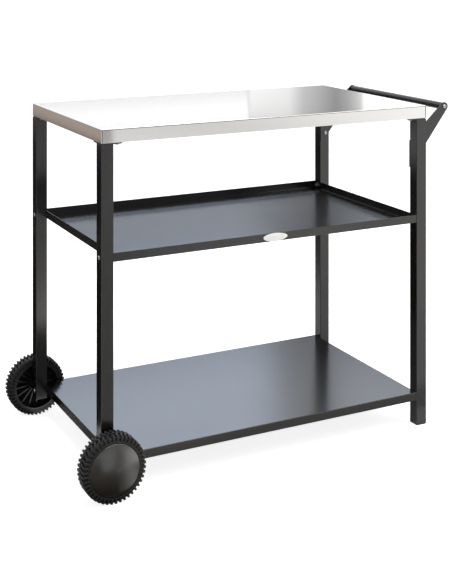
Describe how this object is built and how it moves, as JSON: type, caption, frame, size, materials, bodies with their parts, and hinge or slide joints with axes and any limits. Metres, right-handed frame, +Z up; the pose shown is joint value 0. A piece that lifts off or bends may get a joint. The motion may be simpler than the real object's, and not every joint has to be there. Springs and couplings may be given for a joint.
{
  "type": "outdoor pizza oven table",
  "caption": "Three-tier steel cart for an outdoor oven: stainless worktop, tray, lower shelf, wheels under one end, feet and a push handle at the other.",
  "frame": {"origin": "on the ground, under the centre of the whole table's box, handle and wheels included", "axes": "+X along the length from the wheels to the push handle, +Y from the front to the back, +Z up"},
  "size_m": [1.054, 0.61, 0.826],
  "materials": {
    "stainless": "brushed along its length, satin",
    "black_coat": "satin black powder coat",
    "wheel_plastic": "moulded, satin",
    "tyre": "moulded, matte",
    "cap": "satin gloss",
    "nylon": "moulded, matte",
    "zinc": "bright zinc plating",
    "white_badge": "gloss"
  },
  "bodies": {
    "frame": {"worktop": "stainless", "worktop_stiffener_left": "stainless", "worktop_stiffener_middle": "stainless", "worktop_stiffener_right": "stainless", "mid_tray": "black_coat", "tray_wall_front": "black_coat", "tray_wall_back": "black_coat", "lower_shelf": "black_coat", "badge_plate": "white_badge", "tray_screws": "zinc", "tray_lock_nuts": "zinc", "shelf_screws": "zinc", "shelf_lock_nuts": "zinc", "worktop_screws": "zinc", "worktop_rivet_nuts": "zinc", "bar_screws": "zinc", "arm_screws": "zinc", "arm_rivet_nuts": "zinc", "handle_bar": "black_coat", "handle_arm_front": "black_coat", "bar_insert_front": "zinc", "leg_plug_front_left": "nylon", "foot_front_right": "nylon", "leg_front_left": "black_coat", "leg_plate_front_left": "black_coat", "leg_front_right": "black_coat", "leg_plate_front_right": "black_coat", "axle_bolt_front": "zinc", "axle_spacer_front": "zinc", "axle_washer_front": "zinc", "axle_rivet_nut_front": "zinc", "handle_arm_back": "black_coat", "bar_insert_back": "zinc", "leg_plug_back_left": "nylon", "foot_back_right": "nylon", "leg_back_left": "black_coat", "leg_plate_back_left": "black_coat", "leg_back_right": "black_coat", "leg_plate_back_right": "black_coat", "axle_bolt_back": "zinc", "axle_spacer_back": "zinc", "axle_washer_back": "zinc", "axle_rivet_nut_back": "zinc"},
    "wheel_front": {"tyre_front": "tyre", "wheel_hub_front": "wheel_plastic", "wheel_bush_front": "nylon", "hub_cap_front": "cap"},
    "wheel_back": {"tyre_back": "tyre", "wheel_hub_back": "wheel_plastic", "wheel_bush_back": "nylon", "hub_cap_back": "cap"}
  },
  "joints": [
    {"name": "wheel_front_spin", "type": "hinge", "parent": "frame", "child": "wheel_front", "pos_m": [-0.451, -0.2765, 0.076], "axis": [0, 1, 0], "continuous": true},
    {"name": "wheel_back_spin", "type": "hinge", "parent": "frame", "child": "wheel_back", "pos_m": [-0.451, 0.2765, 0.076], "axis": [0, 1, 0], "continuous": true}
  ]
}
